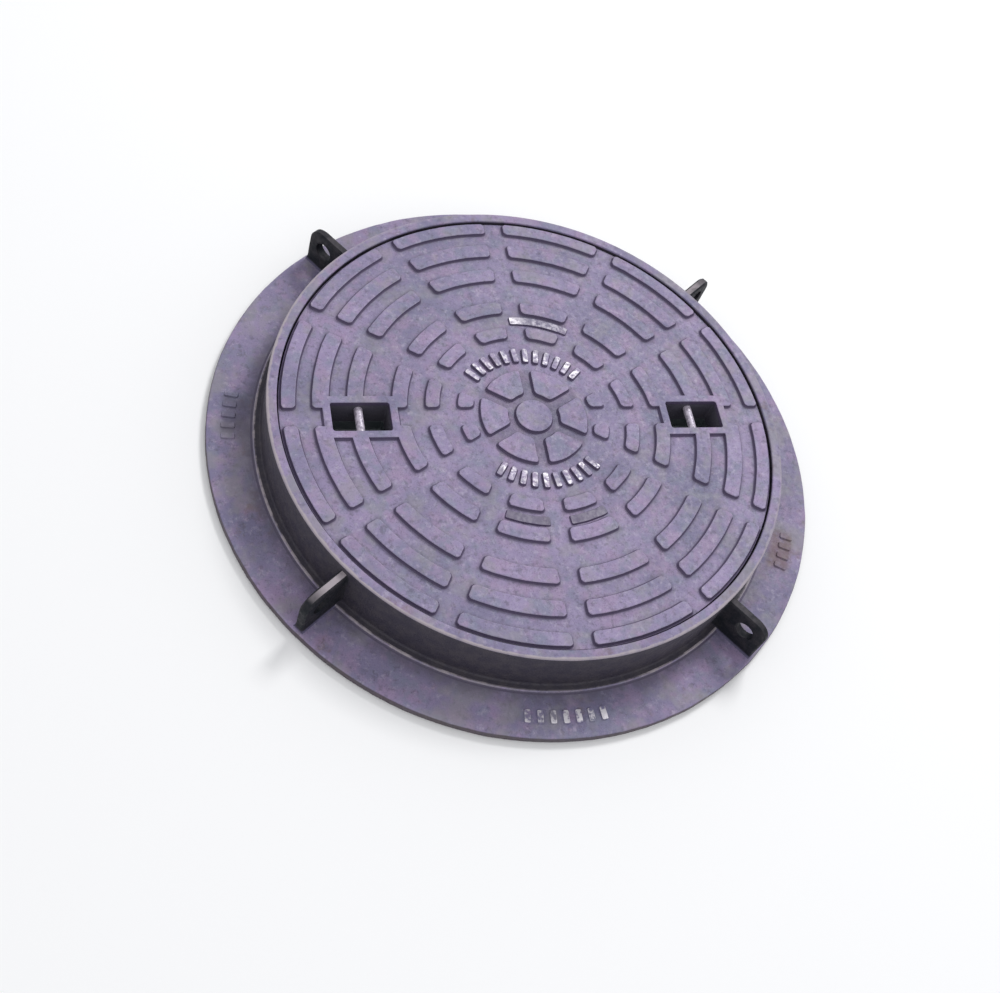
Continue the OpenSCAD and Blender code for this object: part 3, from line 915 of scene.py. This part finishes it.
def cover_material():
    """Thin coat on iron: darker at the tread's block feet and in every crevice, partly dirt and partly
    painted shade; pale edges along the blocks, partly wear and partly painted highlight; painted shade
    inside the key slots.
    """
    g = Graph("cover_iron")
    z, up, radius = g.height_mm(), g.split(g.normal)[2], g.radius_mm()
    speck = g.noise(2.2, 3, 0.65, 9)
    colour = g.mix(g.patches(34, 3, 0.6, 49, 0.52, 0.66, 0, 0.4), old_coat(g, 3.0), DUST)
    low = g.ramp(z, TOP - 2.6, TOP - 1.6, 1, 0)
    # painted shade, partly dirt too: the plate darkens beside the blocks' feet, where shade gathers
    colour = g.mix(g.all_of(beside_blocks(g, 7.0), low, g.ramp(speck, 0.3, 0.6, 0.25, 0.5)), colour, GRIME_AND_SHADE)
    # dark steep sides and feet of the blocks: partly dirt, partly painted shade of the tread's lines
    crevice = g.all_of(g.ramp(up, 0.80, 0.997, 1, 0), g.ramp(z, TOP - 1.6, TOP - 0.7, 1, 0),
                       g.ramp(speck, 0.25, 0.5, 1, 0.86))
    colour = g.mix(crevice, colour, CREVICE)
    # pale crowns of the blocks' edges: partly wear, partly a painted highlight
    worn = g.all_of(g.ramp(up, 0.45, 0.98, 1, 0), g.ramp(z, TOP - 1.1, TOP - 0.5),
                    g.ramp(speck, 0.3, 0.55, 0.2, 0.9))
    colour = g.mix(worn, colour, EDGE_LIGHT)
    colour, polish = rubbed_marks(g, colour, z, up, radius)
    under = g.ramp(z, DECK_TOP - 6, DECK_TOP + 0.5, 1, 0)
    colour = g.mix(under, colour, bare_iron(g, 71.0))
    along = g.maths("ABSOLUTE", g.toward(0))
    # painted shade on the key slots' walls below the top
    in_slot = g.all_of(g.ramp(z, TOP - 5, TOP - 10), g.between(g.toward(90), -SLOT_HALF[1], SLOT_HALF[1], 1),
                       g.between(along, SLOT_R - SLOT_HALF[0], SLOT_R + SLOT_HALF[0], 1))
    colour = g.mix(g.all_of(in_slot, 0.8), colour, SLOT_SHADE)
    g.set_iron(colour, polish, g.patches(6, 3, 0.6, 6, 0.3, 0.7, 0.50, 0.74), sand_cast(g))
    return g.material


def around_marks(g, z, degrees):
    """Uneven patch round the marks that stand in one direction on the flange."""
    return g.all_of(g.between(z, FLANGE_T - 2.0, FLANGE_T + MARK_H + 1, 0.5),
                    g.between(g.toward(degrees), MARK_R - 14, MARK_R + 4, 13),
                    g.between(g.toward(degrees + 90), -20, 20, 20),
                    g.patches(13, 4, 0.65, 36, 0.30, 0.52, 0.2, 0.62))


def frame_material():
    """The same coat on the rim and the flange; the wall and the collar are near-black, partly their coat and
    partly painted shade, and their edges are pale, partly wear and partly painted highlight. Painted shade
    also darkens the flange by the collar, its outer edge and the gap round the cover.
    """
    g = Graph("frame_iron")
    z, up, radius = g.height_mm(), g.split(g.normal)[2], g.radius_mm()
    patch, front = g.noise(14, 4, 0.6, 18), g.toward(SHADED_SIDE)
    colour = old_coat(g, 13.0, 0.98)
    colour = g.mix(g.patches(38, 3, 0.6, 39, 0.46, 0.62, 0, 0.55), colour, DUST)
    colour = g.mix(g.patches(30, 5, 0.7, 19, 0.56, 0.70, 0, 0.4), colour, RUST)
    above = g.ramp(z, FLANGE_T + 0.6, FLANGE_T + 1.6)
    # near-black wall and collar: partly their black coat, partly painted shade
    on_wall = g.all_of(above, g.ramp(radius, COLLAR_R - 1.0, COLLAR_R - 2.2, 0, 1),
                       g.ramp(z, TOP - 3.0, TOP - 1.6, 1, 0))
    colour = g.mix(on_wall, colour, g.mix(g.ramp(patch, 0.4, 0.62), BLACK_AND_SHADE, DUSTY_WALL))
    # pale collar ridge: partly wear, partly a painted highlight, brightest on the side in the key light's
    # shadow and fainter towards 268 degrees
    ridge = g.all_of(g.between(radius, COLLAR_R - 2.6, COLLAR_R + 0.6, 0.7), above,
                     g.ramp(patch, 0.30, 0.52, 0.25, 0.95), g.patches(22, 4, 0.65, 29, 0.40, 0.56, 0.15, 1),
                     g.ramp(front, -250, 150, 0.35, 1), g.ramp(g.toward(268), 326, 342, 1, 0.3))
    colour = g.mix(ridge, colour, BEIGE)
    on_flange = g.between(z, FLANGE_T - 2.0, FLANGE_T + 0.8, 0.5)
    # painted shade in the crease where the collar meets the flange
    crevice = g.all_of(g.between(radius, COLLAR_R, COLLAR_R + 2.2, 1.2), on_flange, 0.8)
    colour = g.mix(crevice, colour, CREVICE)
    # painted shade on the flange beside the collar, darkest on the side in the key light's shadow
    collar_shade = g.all_of(g.ramp(radius, COLLAR_R + 1, COLLAR_R + 26, 0.75, 0), on_flange,
                    g.ramp(front, -200, 250, 0.2, 1), g.patches(24, 3, 0.6, 31, 0.30, 0.60, 0.35, 1))
    colour = g.mix(collar_shade, colour, GRIME_AND_SHADE)
    colour = g.mix(around_marks(g, z, -27.0), colour, RUST)
    colour = g.mix(around_marks(g, z, 172.0), colour, GRIME_AND_SHADE)
    # pale outer lip of the rim: partly wear, partly a painted highlight, brightest on the side in the key
    # light's shadow
    wander = g.all_of(g.noise(16, 3, 0.6, 17), 7.0)
    lip = g.all_of(g.ramp(g.maths("ADD", radius, wander), WALL_R - 0.6, WALL_R + 1.2),
                   g.ramp(z, TOP - 2.4, TOP - 1.2), g.ramp(patch, 0.28, 0.5, 0.45, 0.95),
                   g.ramp(front, -250, 150, 0.15, 1))
    colour = g.mix(lip, colour, BEIGE)
    # painted shade on the flange's steep outer edge
    outer_edge = g.all_of(g.ramp(radius, FLANGE_R - 4.0, FLANGE_R - 2.4), g.ramp(up, 0.35, 0.9, 1, 0), 0.85)
    colour = g.mix(outer_edge, colour, EDGE_SHADE)
    # pale tops of the front marks: partly polish, partly painted glints
    on_marks = g.all_of(g.between(z, FLANGE_T + MARK_H - 0.7, FLANGE_T + MARK_H + 0.6, 0.4),
                        g.between(radius, MARK_R - 11, MARK_R + 11, 1), g.ramp(up, 0.75, 0.95),
                        g.patches(6, 3, 0.6, 28, 0.40, 0.56), g.ramp(g.toward(-90), 300, 330))
    colour = g.mix(on_marks, colour, POLISH_AND_GLINT)
    # painted shade on the gap wall round the cover, starting deeper down towards -40 degrees so the gap
    # looks lighter on that side
    coat_and_light_depth = g.ramp(g.toward(-40), -100, 200, 2.5, 6)
    inside = g.all_of(g.ramp(radius, RIM_INNER_R + 0.3, RIM_INNER_R - 0.3),
                      g.ramp(g.maths("ADD", z, coat_and_light_depth), TOP - 4, TOP - 1, 1, 0))
    colour = g.mix(inside, colour, BLACK_AND_SHADE)
    colour = g.mix(g.ramp(up, -0.2, -0.7, 0, 0.8), colour, bare_iron(g, 76.0))
    g.set_iron(colour, on_marks, g.patches(6, 3, 0.6, 16, 0.3, 0.7, 0.52, 0.78), sand_cast(g, 1.25))
    return g.material


def lug_material(name, wear_and_highlight):
    """Near-black coat, partly painted shade, with the upper edge pale by the given share: partly wear,
    partly a painted highlight.
    """
    g = Graph(name)
    z, up = g.height_mm(), g.split(g.normal)[2]
    patch = g.noise(12, 4, 0.6, 23)
    # near-black faces: partly black coat, partly painted shade
    colour = g.mix(g.ramp(patch, 0.4, 0.62), (0.008, 0.010, 0.015), (0.024, 0.022, 0.028))
    # pale upper edge: partly wear, partly a painted highlight
    edge = g.all_of(g.ramp(up, 0.75, 0.97), g.ramp(z, LUG_TOP - 5, LUG_TOP - 1),
                    g.ramp(patch, 0.30, 0.50, 0.5, 1),
                    g.ramp(g.radius_mm(), LUG_REACH - 38, LUG_REACH - 14, 1, 0.3), wear_and_highlight)
    colour = g.mix(edge, colour, BEIGE)
    colour = g.mix(g.ramp(z, FLANGE_T + 1.0, FLANGE_T + 5.0, 0.55, 0), colour, SLATE)
    g.set(Base_Color=colour, Roughness=g.patches(5, 3, 0.6, 26, 0.3, 0.7, 0.52, 0.78),
          Normal=sand_cast(g, 1.25), Specular_IOR_Level=0.25)
    return g.material


def moulded_material(name, seed, dust, clean, dusty, roughness, grain):
    """Dark moulded rubber or plastic. dust holds its patches' size, the noise where they start and are
    full, and their share; roughness that of clean and dusty places; grain its size, depth and strength."""
    g = Graph(name)
    size, start, full, share = dust
    dusted = g.patches(size, 4, 0.6, seed, start, full)
    g.set(Base_Color=g.mix(g.all_of(dusted, share), clean, dusty),
          Roughness=g.ramp(dusted, 0, 1, *roughness),
          Normal=g.bump(g.noise(grain[0], 2, 0.5, seed + 1), *grain[1:]))
    return g.material


def steel_material(name, colour_low, colour_high, seed, metallic=0.85):
    """Dull steel with thin stains."""
    g = Graph(name)
    stain = g.patches(4, 4, 0.65, seed, 0.45, 0.62)
    g.set(Base_Color=g.mix(stain, colour_high, colour_low), Roughness=g.ramp(stain, 0, 1, 0.38, 0.7),
          Metallic=metallic, Normal=g.bump(g.noise(0.9, 3, 0.6, seed + 1), 0.06, 0.5))
    return g.material


# ---- assembly ----

def dress(piece, material, body, slot, *nodes):
    """Gives a piece its material, the CAD body it rides on and the CAD nodes it stands for."""
    finish_normals(piece, 38)
    piece.data.materials.clear()
    piece.data.materials.append(material)
    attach(piece, body)
    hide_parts(*nodes)


def build_object():
    """All pieces of the set."""
    iron, frame_iron = cover_material(), frame_material()
    steel = steel_material("bar_steel", (0.32, 0.28, 0.36), (0.62, 0.56, 0.66), 53.0, 0.1)
    zinc = steel_material("screw_steel", (0.30, 0.29, 0.27), (0.58, 0.58, 0.57), 63.0)
    rubber = moulded_material("gasket_rubber", 33, (12, 0.45, 0.7, 0.5), (0.018, 0.018, 0.020),
                              (0.070, 0.068, 0.072), (0.55, 0.85), (0.8, 0.05, 0.5))
    plastic = moulded_material("cup_plastic", 43, (9, 0.42, 0.68, 0.6), (0.080, 0.096, 0.106),
                               (0.160, 0.176, 0.184), (0.45, 0.8), (0.5, 0.03, 0.6))
    dress(build_cover(), iron, "cover", "cover_iron", "cover_casting")
    dress(build_frame_ring(), frame_iron, "frame", "frame_iron", "frame_ring")
    for index, (angle, wear_and_highlight) in enumerate(zip(LUG_ANGLES, LUG_WEAR_AND_HIGHLIGHT), 1):
        lug_iron = lug_material(f"lug_iron_{index}", wear_and_highlight)
        dress(build_lug(index, angle), lug_iron, "frame", "frame_iron", f"anchor_lug_{index}")
    dress(build_gasket(), rubber, "frame", "gasket_rubber", "seat_gasket")
    for side, word in enumerate(("right", "left")):
        dress(build_bar(f"key_bar_{word}", side), steel, "cover", "bar_steel", f"lifting_bar_{word}")
        dress(build_cup(f"pocket_cup_{word}", side), plastic, "cover", "cup_plastic", f"key_cup_{word}")
    dress(build_screws(), zinc, "cover", "screw_steel", "key_cup_screws")


# ---- camera, floor and light ----

CAMERA_AZIMUTH = -31.5      # degrees: 0 looks along +Y
CAMERA_ELEVATION = 55.75
CAMERA_ROLL = 25.4          # the horizon's tilt
CAMERA_DISTANCE = 1.658     # from the middle of the cover's top, in metres
CAMERA_SHIFT = (-0.0442, -0.1041)   # how far the camera stands off that middle, to its right and up
CAMERA_LENS = 46.7
LIGHT_DISTANCE = 5.0
KEY_LIGHT = (138.0, 48.0, 1.3, 112)     # azimuth, elevation, size in metres and power: behind the object
FILL_LIGHT = (CAMERA_AZIMUTH + 30, 60.0, 4.0, 25)
FLOOR_HALF = 6000.0


def direction(azimuth, elevation):
    """From the object toward something that looks down at it along an azimuth."""
    a, e = math.radians(azimuth), math.radians(elevation)
    return Vector((math.sin(a) * math.cos(e), -math.cos(a) * math.cos(e), math.sin(e)))


def add_camera():
    a, roll = math.radians(CAMERA_AZIMUTH), math.radians(CAMERA_ROLL)
    back = direction(CAMERA_AZIMUTH, CAMERA_ELEVATION)
    level = Vector((math.cos(a), math.sin(a), 0))
    right = level * math.cos(roll) + back.cross(level) * math.sin(roll)
    up = back.cross(right)
    camera = bpy.data.objects.new("camera", bpy.data.cameras.new("camera"))
    bpy.context.scene.collection.objects.link(camera)
    camera.data.lens = CAMERA_LENS
    camera.data.sensor_width = 36
    aim = Vector((0, 0, TOP * MM)) + right * CAMERA_SHIFT[0] + up * CAMERA_SHIFT[1]
    turn = Matrix((right, up, back)).transposed().to_4x4()
    camera.matrix_world = Matrix.Translation(aim + back * CAMERA_DISTANCE) @ turn
    bpy.context.scene.camera = camera


def add_floor():
    """A plain pale floor just under the object."""
    corners = np.array([(-1, -1, 0), (1, -1, 0), (1, 1, 0), (-1, 1, 0)]) * FLOOR_HALF - [0, 0, 0.2]
    floor = mesh_from("floor", corners, [(0, 1, 2, 3)])
    g = Graph("floor")
    g.set(Base_Color=(0.93, 0.93, 0.935, 1.0), Roughness=0.9)
    floor.data.materials.append(g.material)


def add_area_light(name, azimuth, elevation, size, power):
    """A square soft light that looks at the object from one direction."""
    back = direction(azimuth, elevation)
    light = bpy.data.lights.new(name, "AREA")
    light.energy, light.size = power, size
    lamp = bpy.data.objects.new(name, light)
    bpy.context.scene.collection.objects.link(lamp)
    lamp.location = back * LIGHT_DISTANCE
    lamp.rotation_mode = "QUATERNION"
    lamp.rotation_quaternion = back.to_track_quat("Z", "Y")


def add_light():
    add_area_light("key", *KEY_LIGHT)
    add_area_light("fill", *FILL_LIGHT)
    world = bpy.data.worlds.new("studio")
    world.use_nodes = True
    background = world.node_tree.nodes["Background"]
    background.inputs["Color"].default_value = (0.97, 0.98, 1.0, 1.0)
    background.inputs["Strength"].default_value = 0.70
    bpy.context.scene.world = world
    bpy.context.scene.view_settings.view_transform = "Standard"


add_camera()
add_floor()
add_light()
build_object()
